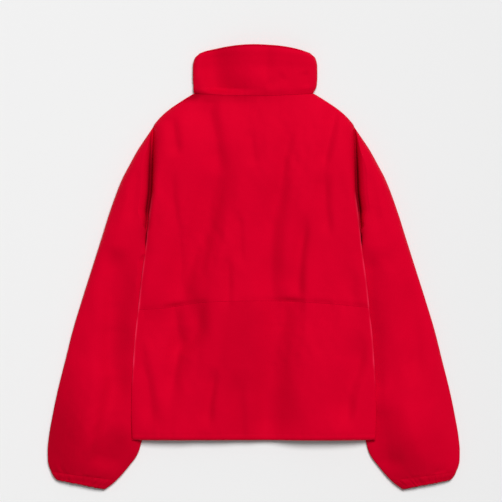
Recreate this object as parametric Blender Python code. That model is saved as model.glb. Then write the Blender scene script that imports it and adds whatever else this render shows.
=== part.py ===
"""Jacket with a tall stand collar and balloon sleeves, laid flat with its back up.

The collar points to +Y, the hem to -Y, and the surface that it rests on is z = 0.
The wearer's left is -X. Every piece of cloth is a wall lofted through sections:
body sections run across the jacket, sleeve sections fan from armhole to cuff.
Tables are in millimetres, and meshes are made in metres.
"""
import bpy
import numpy as np

MM = 0.001
WALL = 2.0            # thickness of every cloth wall
GAP = 0.4             # between pieces that are sewn to each other
STRIP = 2.5           # upright strip of wall along a side seam
MITRE = 1.3           # longest reach of a corner's inner point, in wall thicknesses
TUBE_RIM = 1.6        # thickness of a tube's wall at its two edges, in wall thicknesses

# powers of the curves that round a section: the higher, the squarer
BACK_SQUARE = 6       # the back, across the body
FOLD_SQUARE = 8       # how late the back's folds fade towards its sides
ARMHOLE_TOP_SQUARE, ARMHOLE_FOOT_SQUARE = 4, 5
COLLAR_TOP_SQUARE, COLLAR_FOOT_SQUARE = 4, 6
SLEEVE_TOP_SQUARE, SLEEVE_FOOT_SQUARE = 3, 8
# the sleeve's top where it goes under the body: a small square rim, then a gentle slope
RIM_SHARE, RIM_SQUARE, SLOPE_POWER = 0.14, 24, 1.3

SHOULDER_Y = 251.0    # top of the armhole
UNDERARM_Y = 75.0     # foot of the armhole
SHOULDER_EDGE = 6.8   # height of the fold along the shoulder
UNDERARM_EDGE = 7.0   # height where the armhole closes under the arm
SIDE_EDGE = 18.6      # height of the side seam, which lies over the sleeve
SIDE_RISE = 45.0      # length over which the side seam climbs to that height
ARMHOLE_TOP = 12.5    # height of the seam in the crease of the armhole
FRONT_ROLL = 60.0     # width over which a front turns up towards its side seam
SHOULDER_ROLL = 24.0  # the same along the shoulder

WAIST_Y = -74.0       # side end of the seam across the back
WAIST_ARCH = 12.5     # how far that seam rises in the middle
HEM_Y = -311.4
NECK_Y = 310.5
NECK_ARCH = -5.0

PLACKET_HALF = 25.0
PLACKET_WALL = 1.6
PLACKET_SHORT = 6.0           # the placket stops this far below the collar's top edge
PLACKET_STEP = (27.0, 34.0)   # where a front is up on the placket, and down again

# fractions of the way along the armhole, shoulder to underarm, shared by both sides
ARM_AT = np.array([0, .02, .07, .17, .30, .45, .60, .74, .86, .95, .99, 1.0])

# half width of the body at each height: y, half
BODY_HALF = np.array([
    (310.5, 108.0), (304.0, 119.0), (296.0, 131.5), (285.3, 147.5), (274.5, 161.0),
    (263.7, 171.7), (251.0, 180.3), (220.0, 181.3), (190.0, 181.8), (138.0, 182.5),
    (110.0, 184.5), (90.0, 187.5), (75.0, 189.4), (55.0, 191.3), (30.0, 194.2),
    (4.0, 197.8), (-20.0, 201.0), (-46.0, 204.0), (-74.0, 207.0), (-100.0, 210.0),
    (-141.0, 213.8), (-180.0, 216.3), (-225.0, 218.6), (-265.0, 219.4),
    (-311.4, 218.0)])

# height of the middle of the back: y, crown
BODY_CROWN = np.array([
    (310.5, 19.0), (285.0, 22.0), (251.0, 23.5), (150.0, 24.5), (0.0, 24.5),
    (-74.0, 24.5), (-200.0, 24.3), (-311.4, 23.4)])

SHOULDER_ROWS = (310.5, 304.0, 296.0, 285.3, 274.5, 263.7)
SIDE_ROWS = (52.0, 30.0, -20.0)
LOWER_ROWS = (-100.0, -141.0, -180.0, -225.0, -270.0)

# columns of the back, as fractions of its half width
BACK_AT = np.array([0, .12, .25, .38, .50, .62, .73, .82, .89, .94, .965, .986, 1.0])
# columns of a front, as distances in from its side seam
FRONT_IN = (4.0, 14.0, 28.0, 42.0, 58.0)

DEEPEST_FOLD = 3.5    # where two folds meet they go no deeper than this
# large soft folds of the back: x0, y0, x1, y1, width, depth
FOLDS = (
    (-64, 282, -50, 165, 16, 2.0),
    (-50, 165, -73, 75, 16, 2.2),
    (-73, 75, -109, -42, 18, 3.0),
    (56, 183, 44, 75, 16, 2.8),
    (44, 75, 50, -42, 18, 3.0),
    (-97, -78, -97, -132, 15, 3.0),
    (-97, -132, -133, -195, 15, 2.6),
    (65, -78, 65, -132, 15, 2.4),
    (48, -213, 52, -267, 18, 2.2),
)

# edges of the right sleeve from armhole to cuff: x, y
SLEEVE_OUTER = np.array([
    (180.7, 251), (194, 231), (208, 210), (223, 183), (237, 156), (257.4, 102),
    (274.5, 48), (291.6, -6), (308.7, -60), (325, -114), (338.5, -168), (352, -222),
    (361, -265), (368.5, -309), (370.3, -330), (370, -348), (367.5, -360), (364, -368)])
SLEEVE_INNER = np.array([
    (189.8, 75), (191.9, 55), (193.2, 40), (192.3, 20), (188.5, -15), (183.5, -70),
    (181.5, -130), (183.5, -190), (189, -250), (197, -295), (203.5, -322),
    (206.5, -332), (212, -343), (221, -354.5), (237, -374), (246, -383.4)])

# outer_at, inner_at (fractions of the two edges), top, outer_edge, inner_edge, soft
SLEEVE_RINGS = (
    (.015, .020, 16.5, 8.0, 6.2, 0.2),
    (.050, .060, 19.0, 8.5, 4.4, 0.6),
    (.110, .120, 20.0, 9.0, 3.5, 1.0),
    (.180, .190, 20.0, 9.0, 3.0, 1.0),
    (.260, .270, 20.0, 9.0, 3.0, 1.0),
    (.340, .350, 20.0, 9.0, 3.0, 1.0),
    (.420, .430, 20.0, 9.0, 3.0, 1.0),
    (.500, .520, 20.0, 9.0, 3.0, 1.0),
    (.580, .600, 20.0, 9.0, 3.0, 1.0),
    (.660, .680, 20.0, 9.0, 3.0, 1.0),
    (.740, .760, 20.0, 9.0, 3.2, 1.0),
    (.815, .830, 20.5, 9.0, 3.6, 0.9),
    (.880, .890, 21.0, 8.5, 5.0, 0.5),
    (.930, .940, 20.5, 8.0, 6.5, 0.1),
    (.970, .975, 18.5, 7.5, 7.0, 0.0),
    (1.00, 1.00, 15.0, 7.0, 7.0, 0.0),
)

# cuff sections: outer x, y, inner x, y, top, edge
CUFF_RINGS = (
    (363.8, -368.4, 246.3, -383.8, 14.6, 6.8),
    (361.5, -373.0, 252.5, -388.8, 15.6, 7.2),
    (358.5, -378.6, 260.0, -395.0, 15.0, 7.0),
    (354.0, -383.4, 267.7, -400.5, 12.6, 6.2),
)

# collar sections: y, half, arch, crown, edge
COLLAR_ROWS = (
    (310.9, 106.5, -5.0, 18.8, 7.4),
    (322.0, 110.5, -3.0, 19.0, 7.8),
    (341.0, 112.0, 0.0, 18.6, 7.8),
    (360.0, 111.8, 5.0, 17.6, 7.6),
    (374.0, 108.5, 11.5, 16.4, 7.2),
    (382.5, 100.0, 18.0, 14.4, 6.6),
)
COLLAR_AT = np.array([.30, .55, .75, .88, .96])


def lookup(table, y):
    """Second column of a table whose first column falls, read at y."""
    return np.interp(y, table[::-1, 0], table[::-1, 1])


def smooth(t):
    """Soft step from 0 to 1."""
    t = np.clip(t, 0.0, 1.0)
    return t * t * (3.0 - 2.0 * t)


def placket_lift(x):
    """How far a piece is held up where it lies on the placket."""
    near, far = PLACKET_STEP
    return (PLACKET_WALL + GAP) * smooth((far - np.abs(x)) / (far - near))


def armhole_heights(s):
    """Top, bottom and edge height of the armhole ring, s from shoulder to underarm."""
    edge = SHOULDER_EDGE + (UNDERARM_EDGE - SHOULDER_EDGE) * s
    v = np.abs(2.0 * s - 1.0)
    top = edge + (ARMHOLE_TOP - edge) * np.sqrt(1.0 - v ** ARMHOLE_TOP_SQUARE)
    bottom = edge * (1.0 - np.sqrt(1.0 - v ** ARMHOLE_FOOT_SQUARE))
    return top, bottom, edge


def edge_heights(y):
    """Height of the back's edge and the front's edge at y, and how far the front turns up."""
    if y >= SHOULDER_Y:
        return SHOULDER_EDGE + GAP, SHOULDER_EDGE, 1.0
    if y > UNDERARM_Y:
        top, bottom, edge = armhole_heights((SHOULDER_Y - y) / (SHOULDER_Y - UNDERARM_Y))
        return top + GAP, bottom, bottom / edge
    climb = smooth((UNDERARM_Y - y) / SIDE_RISE)
    edge = UNDERARM_EDGE + (SIDE_EDGE - UNDERARM_EDGE) * climb
    return edge + GAP, edge, 1.0


def fold_depth(x, y):
    """Sum of the soft troughs at x, y, each fading past the ends of its line."""
    depth = np.zeros_like(x)
    for x0, y0, x1, y1, width, deep in FOLDS:
        run = np.array([x1 - x0, y1 - y0], dtype=float)
        along = ((x - x0) * run[0] + (y - y0) * run[1]) / (run @ run)
        along = np.clip(along, 0.0, 1.0)
        away = np.hypot(x - x0 - along * run[0], y - y0 - along * run[1])
        depth = depth + deep * np.exp(-(away / width) ** 2)
    return np.minimum(depth, DEEPEST_FOLD)


def inset(across, height, side):
    """Section moved by an even wall thickness along its corners' bisectors, in its own plane."""
    da, dh = np.diff(across), np.diff(height)
    length = np.hypot(da, dh)
    normal = np.stack([-dh / length, da / length])
    before = np.concatenate([normal[:, :1], normal], axis=1)
    after = np.concatenate([normal, normal[:, -1:]], axis=1)
    middle = before + after
    middle = middle / np.hypot(middle[0], middle[1])
    reach = WALL / np.maximum(np.sum(middle * after, axis=0), 1.0 / MITRE)
    return across + side * reach * middle[0], height + side * reach * middle[1]


def back_section(y, arch):
    """Outer and inner points of the back across one row, from -X to +X."""
    half = lookup(BODY_HALF, y)
    crown = lookup(BODY_CROWN, y)
    edge = edge_heights(y)[0]
    u = np.concatenate([-BACK_AT[:0:-1], BACK_AT])
    x = half * u
    rows = y + arch * (1.0 - u ** 2)
    lip = edge + STRIP
    z = lip + (crown - lip) * np.sqrt(1.0 - u ** BACK_SQUARE)
    z = z - fold_depth(x, rows) * (1.0 - u ** FOLD_SQUARE)
    x = np.concatenate([[-half], x, [half]])
    z = np.concatenate([[edge], z, [edge]])
    rows = np.concatenate([[y], rows, [y]])
    x_in, z_in = inset(x, z, -1.0)
    return np.stack([x, rows, z], -1), np.stack([x_in, rows, z_in], -1)


def front_section(y, arch):
    """Outer and inner points of the front on +X, from its side seam to the middle."""
    half = lookup(BODY_HALF, y)
    _, edge, turned = edge_heights(y)
    roll = FRONT_ROLL if y < SHOULDER_Y - SHOULDER_ROLL else SHOULDER_ROLL
    angle = 0.5 * np.pi * turned
    lip = edge - STRIP * np.sin(angle)
    step_near, step_far = PLACKET_STEP
    x = np.array([half, half - STRIP * np.cos(angle)]
                 + [half - STRIP - into for into in FRONT_IN]
                 + [step_far, step_near, 0.5 * GAP])
    z = lip * smooth((x - half + roll) / roll)
    z[0], z[1] = edge, lip
    z = z + placket_lift(x)
    rows = y + arch * (1.0 - (x / half) ** 2)
    x_in, z_in = inset(x, z, -1.0)
    x_in[-1] = x[-1]
    return np.stack([x, rows, z], -1), np.stack([x_in, rows, z_in], -1)


def collar_section(y, half, arch, crown, edge):
    """Points of the collar band from the middle front, round the back, to the middle front."""
    step_near, step_far = PLACKET_STEP
    under = np.concatenate([[0.5 * GAP / half, step_near / half, step_far / half],
                            COLLAR_AT[1:]])
    under_z = edge * (1.0 - np.sqrt(1.0 - under ** COLLAR_FOOT_SQUARE))
    under_z = under_z + placket_lift(under * half)
    over = np.concatenate([COLLAR_AT[::-1], [0.0], -COLLAR_AT])
    over_z = edge + (crown - edge) * np.sqrt(1.0 - over ** COLLAR_TOP_SQUARE)
    u = np.concatenate([under, [1.0], over, [-1.0], -under[::-1]])
    z = np.concatenate([under_z, [edge], over_z, [edge], under_z[::-1]])
    x = half * u
    rows = y + arch * (1.0 - u ** 2)
    x_in, z_in = inset(x, z, 1.0)
    x_in[0], x_in[-1] = x[0], x[-1]
    return np.stack([x, rows, z], -1), np.stack([x_in, rows, z_in], -1)


def ring_heights(s, top, outer_edge, inner_edge, soft):
    """Top and bottom of a sleeve section, s from its outer edge to its inner edge."""
    edge = outer_edge + (inner_edge - outer_edge) * s
    v = np.abs(2.0 * s - 1.0)
    full = np.sqrt(1.0 - v ** SLEEVE_TOP_SQUARE)
    rim, slope = np.sqrt(1.0 - v ** RIM_SQUARE), 1.0 - v ** SLOPE_POWER
    gentle = RIM_SHARE * rim + (1.0 - RIM_SHARE) * slope
    shape = np.where(s > 0.5, full + soft * (gentle - full), full)
    upper = edge + (top - edge) * shape
    lower = edge * (1.0 - np.sqrt(1.0 - v ** SLEEVE_FOOT_SQUARE))
    return upper, lower


def ring_section(path_x, path_y, heights):
    """Closed outer and inner rings over a line from outer edge to inner edge."""
    length = np.hypot(path_x[-1] - path_x[0], path_y[-1] - path_y[0])
    end = TUBE_RIM * WALL / length
    rings = []
    for s, wall in ((ARM_AT, 0.0), (end + ARM_AT * (1.0 - 2.0 * end), WALL)):
        upper, lower = heights(s)
        upper, lower = upper - wall, lower + wall
        middle = 0.5 * (upper + lower)
        upper[[0, -1]] = middle[[0, -1]]
        around = np.concatenate([s, s[-2:0:-1]])
        z = np.concatenate([upper, lower[-2:0:-1]])
        x = np.interp(around, ARM_AT, path_x)
        y = np.interp(around, ARM_AT, path_y)
        rings.append(np.stack([x, y, z], -1))
    return rings[0], rings[1]


def along(path, fraction):
    """Point at a fraction of the length of a line of points."""
    steps = np.hypot(np.diff(path[:, 0]), np.diff(path[:, 1]))
    at = np.concatenate([[0.0], np.cumsum(steps)]) / steps.sum()
    return np.interp(fraction, at, path[:, 0]), np.interp(fraction, at, path[:, 1])


def sleeve_sections():
    """Sections of the right sleeve, the first one on the armhole of the body."""
    y = SHOULDER_Y + (UNDERARM_Y - SHOULDER_Y) * ARM_AT
    x = lookup(BODY_HALF, y) + GAP
    sections = [ring_section(x, y, lambda s: armhole_heights(np.clip(s, 0, 1))[:2])]
    for outer_at, inner_at, top, outer_edge, inner_edge, soft in SLEEVE_RINGS:
        ox, oy = along(SLEEVE_OUTER, outer_at)
        ix, iy = along(SLEEVE_INNER, inner_at)
        sections.append(ring_section(
            ox + (ix - ox) * ARM_AT, oy + (iy - oy) * ARM_AT,
            lambda s: ring_heights(s, top, outer_edge, inner_edge, soft)))
    return sections


def cuff_sections():
    """Sections of the right cuff's casing, from the sleeve to its open end."""
    sections = []
    for ox, oy, ix, iy, top, edge in CUFF_RINGS:
        sections.append(ring_section(
            ox + (ix - ox) * ARM_AT, oy + (iy - oy) * ARM_AT,
            lambda s: ring_heights(s, top, edge, edge, 0.0)))
    return sections


def mirrored(sections):
    """The same sections on the other side of the jacket."""
    flip = np.array([-1.0, 1.0, 1.0])
    return [(outer * flip, inner * flip) for outer, inner in sections]


def make_wall(name, sections, material, collection, closed=False):
    """Closed wall lofted through the outer and inner points of each section."""
    outer = np.array([pair[0] for pair in sections])
    inner = np.array([pair[1] for pair in sections])
    rows, cols = outer.shape[:2]
    ids = np.arange(rows * cols).reshape(rows, cols)
    if closed:
        ids = np.concatenate([ids, ids[:, :1]], axis=1)
    deep = ids + rows * cols

    def quads(a, b, c, d):
        return np.stack([a, b, c, d], -1).reshape(-1, 4)

    faces = [quads(ids[:-1, :-1], ids[:-1, 1:], ids[1:, 1:], ids[1:, :-1]),
             quads(deep[:-1, :-1], deep[1:, :-1], deep[1:, 1:], deep[:-1, 1:]),
             quads(ids[0, 1:], ids[0, :-1], deep[0, :-1], deep[0, 1:]),
             quads(ids[-1, :-1], ids[-1, 1:], deep[-1, 1:], deep[-1, :-1])]
    if not closed:
        faces += [quads(ids[:-1, 0], ids[1:, 0], deep[1:, 0], deep[:-1, 0]),
                  quads(ids[1:, -1], ids[:-1, -1], deep[:-1, -1], deep[1:, -1])]
    faces = np.concatenate(faces)
    points = np.concatenate([outer.reshape(-1, 3), inner.reshape(-1, 3)]) * MM

    corners = points[faces]
    first = np.cross(corners[:, 1] - corners[:, 0], corners[:, 2] - corners[:, 0])
    second = np.cross(corners[:, 2] - corners[:, 0], corners[:, 3] - corners[:, 0])
    volume = np.sum(corners[:, 0] * first) + np.sum(corners[:, 0] * second)
    if volume < 0.0:
        faces = faces[:, ::-1]

    mesh = bpy.data.meshes.new(name)
    mesh.from_pydata(points.tolist(), [], faces.tolist())
    mesh.materials.append(material)
    obj = bpy.data.objects.new(name, mesh)
    collection.objects.link(obj)
    return obj


def make_material(name, color, roughness):
    """Cloth with one colour and a soft shine."""
    material = bpy.data.materials.new(name)
    material.use_nodes = True
    shader = material.node_tree.nodes["Principled BSDF"]
    shader.inputs["Base Color"].default_value = (*color, 1.0)
    shader.inputs["Roughness"].default_value = roughness
    shader.inputs["Metallic"].default_value = 0.0
    return material


def make_placket(material, collection):
    """Flat strip under the middle of the fronts and collar, hem to collar top."""
    top = COLLAR_ROWS[-1][0] + COLLAR_ROWS[-1][2] - PLACKET_SHORT
    bpy.ops.mesh.primitive_cube_add(size=1.0)
    obj = bpy.context.object
    obj.name = "front_placket"
    obj.data.name = "front_placket"
    size = (2.0 * PLACKET_HALF * MM, (top - HEM_Y) * MM, PLACKET_WALL * MM)
    middle = (0.0, 0.5 * (top + HEM_Y) * MM, 0.5 * PLACKET_WALL * MM)
    for vertex in obj.data.vertices:
        for axis in range(3):
            vertex.co[axis] = vertex.co[axis] * size[axis]
    obj.location = middle
    obj.data.materials.append(material)
    for owner in list(obj.users_collection):
        owner.objects.unlink(obj)
    collection.objects.link(obj)
    return obj


for old in list(bpy.data.objects):
    bpy.data.objects.remove(old, do_unlink=True)

jacket = bpy.data.collections.new("stand_collar_jacket")
bpy.context.scene.collection.children.link(jacket)

SHELL_RED = (0.62, 0.001, 0.022)
shell_cloth = make_material("shell_cloth", SHELL_RED, 0.55)
casing_cloth = make_material("casing_cloth", SHELL_RED, 0.6)

arm_rows = SHOULDER_Y + (UNDERARM_Y - SHOULDER_Y) * ARM_AT
upper_rows = np.concatenate([SHOULDER_ROWS, arm_rows, SIDE_ROWS, [WAIST_Y + 0.5 * GAP]])
lower_rows = np.concatenate([[WAIST_Y - 0.5 * GAP], LOWER_ROWS, [HEM_Y]])


def upper_arch(y):
    """Rise of a row's middle: hollow at the neck, level, then arched at the waist."""
    neck = NECK_ARCH * smooth((y - SHOULDER_Y) / (NECK_Y - SHOULDER_Y))
    waist = WAIST_ARCH * smooth((UNDERARM_Y - y) / (UNDERARM_Y - WAIST_Y))
    return neck + waist


def lower_arch(y):
    """Rise of a row's middle, from the arched waist to the straight hem."""
    return WAIST_ARCH * smooth((y - HEM_Y) / (WAIST_Y - HEM_Y))


make_wall("back_upper", [back_section(y, upper_arch(y)) for y in upper_rows],
          shell_cloth, jacket)
make_wall("back_lower", [back_section(y, lower_arch(y)) for y in lower_rows],
          shell_cloth, jacket)

front_rows = np.concatenate([SHOULDER_ROWS, arm_rows, SIDE_ROWS, [WAIST_Y],
                             LOWER_ROWS, [HEM_Y]])
front = [front_section(y, upper_arch(y) if y > SHOULDER_Y else 0.0) for y in front_rows]
make_wall("front_right", front, shell_cloth, jacket)
make_wall("front_left", mirrored(front), shell_cloth, jacket)
make_placket(shell_cloth, jacket)

make_wall("collar", [collar_section(*row) for row in COLLAR_ROWS], shell_cloth, jacket)

sleeve = sleeve_sections()
make_wall("sleeve_right", sleeve, shell_cloth, jacket, closed=True)
make_wall("sleeve_left", mirrored(sleeve), shell_cloth, jacket, closed=True)

cuff = cuff_sections()
make_wall("cuff_right", cuff, casing_cloth, jacket, closed=True)
make_wall("cuff_left", mirrored(cuff), casing_cloth, jacket, closed=True)
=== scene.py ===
# %% [markdown]
# # A light red jacket, laid flat with its back up
#
# The real thing is a hip-length jacket of thin woven nylon, with a tall stand collar, full
# sleeves gathered into elastic cuffs, and an arched seam across the back. It lies front down
# on a table. It could be made by simulating a sewn pattern that falls on the floor. Here each
# piece of cloth is a surface worked out from the garment's own sizes instead, because then
# every crease can be put where it belongs and the result is the same at each run.

# %% Load the fixed frame
import bpy
import numpy as np
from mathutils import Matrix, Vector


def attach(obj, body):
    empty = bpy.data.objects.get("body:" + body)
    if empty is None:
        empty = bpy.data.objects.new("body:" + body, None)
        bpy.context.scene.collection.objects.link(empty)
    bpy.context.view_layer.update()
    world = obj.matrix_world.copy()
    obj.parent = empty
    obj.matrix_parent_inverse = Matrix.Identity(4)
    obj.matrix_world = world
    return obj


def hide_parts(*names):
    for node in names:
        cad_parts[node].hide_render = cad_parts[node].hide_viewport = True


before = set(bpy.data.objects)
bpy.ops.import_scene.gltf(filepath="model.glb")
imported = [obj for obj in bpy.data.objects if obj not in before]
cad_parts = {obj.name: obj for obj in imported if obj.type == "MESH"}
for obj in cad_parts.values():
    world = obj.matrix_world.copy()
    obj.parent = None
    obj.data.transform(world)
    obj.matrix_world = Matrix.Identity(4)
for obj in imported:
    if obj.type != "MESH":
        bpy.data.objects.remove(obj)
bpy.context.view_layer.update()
print("frame nodes:", sorted(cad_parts))

# %% [markdown]
# ## Helpers for reading tables
#
# A tailor's pattern is a short list of measures with smooth curves drawn through them. The
# tables below are such lists, in millimetres. A straight line between two rows would leave
# corners in the outline. A plain cubic would swing past the measures, so the slopes here are
# limited where the measures turn round.

# %% Smooth steps and curves
MM = 0.001


def smooth(t):
    """Soft step: t clipped to 0..1, then t squared times (3 - 2t)."""
    t = np.clip(t, 0.0, 1.0)
    return t * t * (3.0 - 2.0 * t)


def curve(table, at):
    """Cubic through the rows of a table: each slope is the harmonic mean of its neighbours'."""
    table = np.asarray(table, dtype=float)
    if table[0, 0] > table[-1, 0]:
        table = table[::-1]
    x, y = table[:, 0], table[:, 1]
    step = np.diff(x)
    slope = np.diff(y) / step
    left, right = slope[:-1], slope[1:]
    same = left * right > 0
    safe = np.where(same, left + right, 1.0)
    inner = np.where(same, 2.0 * left * right / safe, 0.0)
    m = np.concatenate([slope[:1], inner, slope[-1:]])
    at = np.clip(np.asarray(at, dtype=float), x[0], x[-1])
    k = np.clip(np.searchsorted(x, at, side="right") - 1, 0, len(x) - 2)
    h = step[k]
    t = (at - x[k]) / h
    return (y[k] * (1 + 2 * t) * (1 - t) ** 2 + h * m[k] * t * (1 - t) ** 2
            + y[k + 1] * t * t * (3 - 2 * t) + h * m[k + 1] * t * t * (t - 1))


def lip(size, power):
    """Rise of an edge that turns up, as a share: 1 less the root of 1 - |size|^power."""
    return 1.0 - np.sqrt(np.clip(1.0 - np.abs(size) ** power, 0.0, 1.0))


def path_at(path, fraction):
    """Point at a fraction of a path's length, on a smooth curve through its points."""
    path = np.asarray(path, dtype=float)
    run = np.concatenate([[0.0], np.cumsum(np.hypot(*np.diff(path, axis=0).T))])
    run = run / run[-1]
    return (curve(np.stack([run, path[:, 0]], -1), fraction),
            curve(np.stack([run, path[:, 1]], -1), fraction))


def graded(low, high, step, fine, reach):
    """Positions from low to high, a fine step apart at both ends and a full step between."""
    count = int(4 * (high - low) / fine)
    x = np.linspace(low, high, count)
    near = np.minimum(x - low, high - x)
    gap = fine + (step - fine) * smooth(near / reach)
    total = np.concatenate([[0.0], np.cumsum(0.5 * (1 / gap[1:] + 1 / gap[:-1]) * np.diff(x))])
    return np.interp(np.linspace(0.0, total[-1], int(total[-1]) + 1), total, x)


# %% [markdown]
# ## Ripples and creases
#
# Thin nylon never lies quite flat. Two things break its surface: faint ripples all over, and
# long soft creases where it was hung or folded. Ripples are a sum of long waves whose crests
# run roughly along the grain. A crease is a valley drawn along a path, often steep on one
# side and gentle on the other, and it fades at both ends. Sculpting would also do, but a
# table of creases can be read and changed.

# %% Ripples
def waves(x, y, length, spread, seed, count=16):
    """Sum of sine waves of random length and phase, their crests within a spread of y."""
    rng = np.random.default_rng(seed)
    total = np.zeros(np.broadcast(x, y).shape)
    for _ in range(count):
        size, turn = length * rng.uniform(0.6, 1.7), rng.normal(0.0, spread)
        along = x * np.cos(turn) + y * np.sin(turn)
        total = total + np.sin(2.0 * np.pi * along / size + rng.uniform(0.0, 2.0 * np.pi))
    return total / np.sqrt(0.5 * count)


def ripple(x, y, size_x, size_y, seed):
    """Random heights in -1..1 on a lattice of the given cell, blended by soft steps."""
    lattice = np.random.default_rng(seed).uniform(-1.0, 1.0, (256, 256))
    cx, cy = x / size_x + 97.0, y / size_y + 97.0
    ix, iy = np.floor(cx).astype(int), np.floor(cy).astype(int)
    fx, fy = smooth(cx - ix), smooth(cy - iy)
    a = lattice[iy % 256, ix % 256] * (1 - fx) + lattice[iy % 256, (ix + 1) % 256] * fx
    b = (lattice[(iy + 1) % 256, ix % 256] * (1 - fx)
         + lattice[(iy + 1) % 256, (ix + 1) % 256] * fx)
    return a * (1 - fy) + b * fy


def cloth_ripples(x, y, seed):
    """Three sizes of wave, each stronger in some places than in others."""
    patch = 0.6 + 0.4 * waves(x, y, 170.0, 1.5, seed + 3, 6)
    return (0.36 * waves(x, y, 62.0, 0.30, seed)
            + patch * (0.15 * waves(x, y, 27.0, 0.45, seed + 1)
                       + 0.035 * waves(x, y, 11.0, 0.9, seed + 2)))


# %% Creases
FADE = 0.30           # share of a crease's length over which each of its ends fades


def crease(x, y, path, west, east, depth):
    """Valley of depth times exp(-(d/width)^2), d the distance from the path.

    On a path drawn downwards, west is the width on its left side and east on its right,
    so that one bank can be steep and the other gentle. It fades by soft steps at its ends.
    """
    px, py = path_at(path, np.linspace(0.0, 1.0, 6 * len(path)))
    out = np.zeros_like(x)
    reach = 2.6 * max(west, east)
    near = ((x > px.min() - reach) & (x < px.max() + reach)
            & (y > py.min() - reach) & (y < py.max() + reach))
    if not near.any():
        return out
    qx, qy = x[near][:, None], y[near][:, None]
    rx, ry = np.diff(px), np.diff(py)
    t = ((qx - px[:-1]) * rx + (qy - py[:-1]) * ry) / (rx * rx + ry * ry)
    t = np.clip(t, 0.0, 1.0)
    dx, dy = qx - px[:-1] - t * rx, qy - py[:-1] - t * ry
    away = dx * dx + dy * dy
    best = np.argmin(away, axis=1)
    row = np.arange(len(best))
    side = rx[best] * dy[row, best] - ry[best] * dx[row, best]
    d = np.sqrt(away[row, best]) / np.where(side > 0.0, east, west)
    at = (best + t[row, best]) / len(rx)
    out[near] = -depth * smooth(at / FADE) * smooth((1.0 - at) / FADE) * np.exp(-d * d)
    return out


def creases(x, y, table):
    """Sum of a table of creases: path, west, east, depth."""
    total = np.zeros_like(x)
    for path, west, east, depth in table:
        total = total + crease(x, y, path, west, east, depth)
    return total


# %% [markdown]
# ## From a grid of points to a piece of cloth
#
# One function turns a grid of points into a mesh, and a Solidify modifier gives the cloth its
# thickness. Thin nylon is about 0.2 mm thick, but at a seam or hem it is folded two or three
# times, so one millimetre looks right at the edges that show.

# %% Cloth from a grid
def show(name, data):
    """Puts a mesh, lamp or camera into the scene as an object."""
    thing = bpy.data.objects.new(name, data)
    bpy.context.scene.collection.objects.link(thing)
    return thing


CLOTH = 1.0 * MM
PAINTED_SLOPE_SHADE = 0.20        # painted shade: how much deeper the red is where the cloth faces away from the window light


def turned_away(grid, closed):
    """How steeply a sheet rises towards +X at each point: 0 where level, 0.6 at most."""
    if closed:
        grid = np.concatenate([grid[:, -1:], grid, grid[:, :1]], axis=1)
    step = np.gradient(grid, axis=1)
    step = step[:, 1:-1] if closed else step
    slope = step[..., 2] * np.sign(step[..., 0]) / np.maximum(np.abs(step[..., 0]), 0.05)
    return np.clip(slope, 0.0, 0.6)


def cloth(name, grid, outward, closed=False, thickness=CLOTH, painted_highlight=None, shade=0.0,
          turn=PAINTED_SLOPE_SHADE):
    """Mesh of a rows x columns grid in mm, facing outward, given thickness inwards.

    It stores two attributes of painted light, 0..1 for each point: how pale its turned edge
    is painted, as a highlight, and how deep its red is painted, as shade. turn adds painted
    shade where the sheet faces away from the window light.
    """
    rows, cols = grid.shape[:2]
    ids = np.arange(rows * cols).reshape(rows, cols)
    if closed:
        ids = np.concatenate([ids, ids[:, :1]], axis=1)
    faces = np.stack([ids[:-1, :-1], ids[:-1, 1:], ids[1:, 1:], ids[1:, :-1]], -1).reshape(-1, 4)
    points = grid.reshape(-1, 3) * MM
    # painted shade on faces that turn away from the window light
    turned = turn * turned_away(grid, closed)
    corner = points[faces]
    normal = np.cross(corner[:, 2] - corner[:, 0], corner[:, 3] - corner[:, 1])
    if np.sum(normal * outward(corner.mean(axis=1))) < 0.0:
        faces = faces[:, ::-1]
    mesh = bpy.data.meshes.new(name)
    mesh.from_pydata(points.tolist(), [], faces.tolist())
    mesh.polygons.foreach_set("use_smooth", np.ones(len(faces), dtype=bool))
    # both attributes are painted light: a paler painted highlight and a deeper painted shade
    for label, values in (("painted_highlight", painted_highlight), ("shade", turned + shade)):
        if values is not None:
            layer = mesh.attributes.new(label, "FLOAT", "POINT")
            layer.data.foreach_set("value", np.ascontiguousarray(values, np.float32).ravel())
    piece = show(name, mesh)
    solid = piece.modifiers.new("cloth_thickness", "SOLIDIFY")
    solid.thickness = thickness
    solid.offset = -1.0
    print(name, "quads", len(faces))
    return piece


def upward(centres):
    """Outward direction of a panel on top: straight up."""
    return np.broadcast_to([0.0, 0.0, 1.0], centres.shape)


def downward(centres):
    """Outward direction of a panel underneath: straight down."""
    return np.broadcast_to([0.0, 0.0, -1.0], centres.shape)


# %% [markdown]
# ## The body's measures
#
# These repeat the sizes that the solid model was cut to: half width, height of the middle,
# the shoulder point, the foot of the armhole, and the seams. The side of the body lies over
# the sleeve, so it is held up there, and its front turns up to meet it.

# %% Sizes of the body, in millimetres
SHOULDER_Y, UNDERARM_Y = 251.0, 75.0
SHOULDER_EDGE, UNDERARM_EDGE, SIDE_EDGE, SIDE_RISE = 6.8, 7.0, 19.6, 18.0
SIDE_FALL = 4.0            # how much lower the side edge is at the hem
ARMHOLE_SEAM = 6.0        # height of the seam at the bottom of the armhole's groove
WAIST_Y, WAIST_ARCH = -74.0, 12.5
HEM_Y, NECK_Y, NECK_ARCH = -311.4, 310.5, -5.0
PLACKET_NEAR, PLACKET_FAR, PLACKET_LIFT = 27.0, 34.0, 2.0

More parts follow.
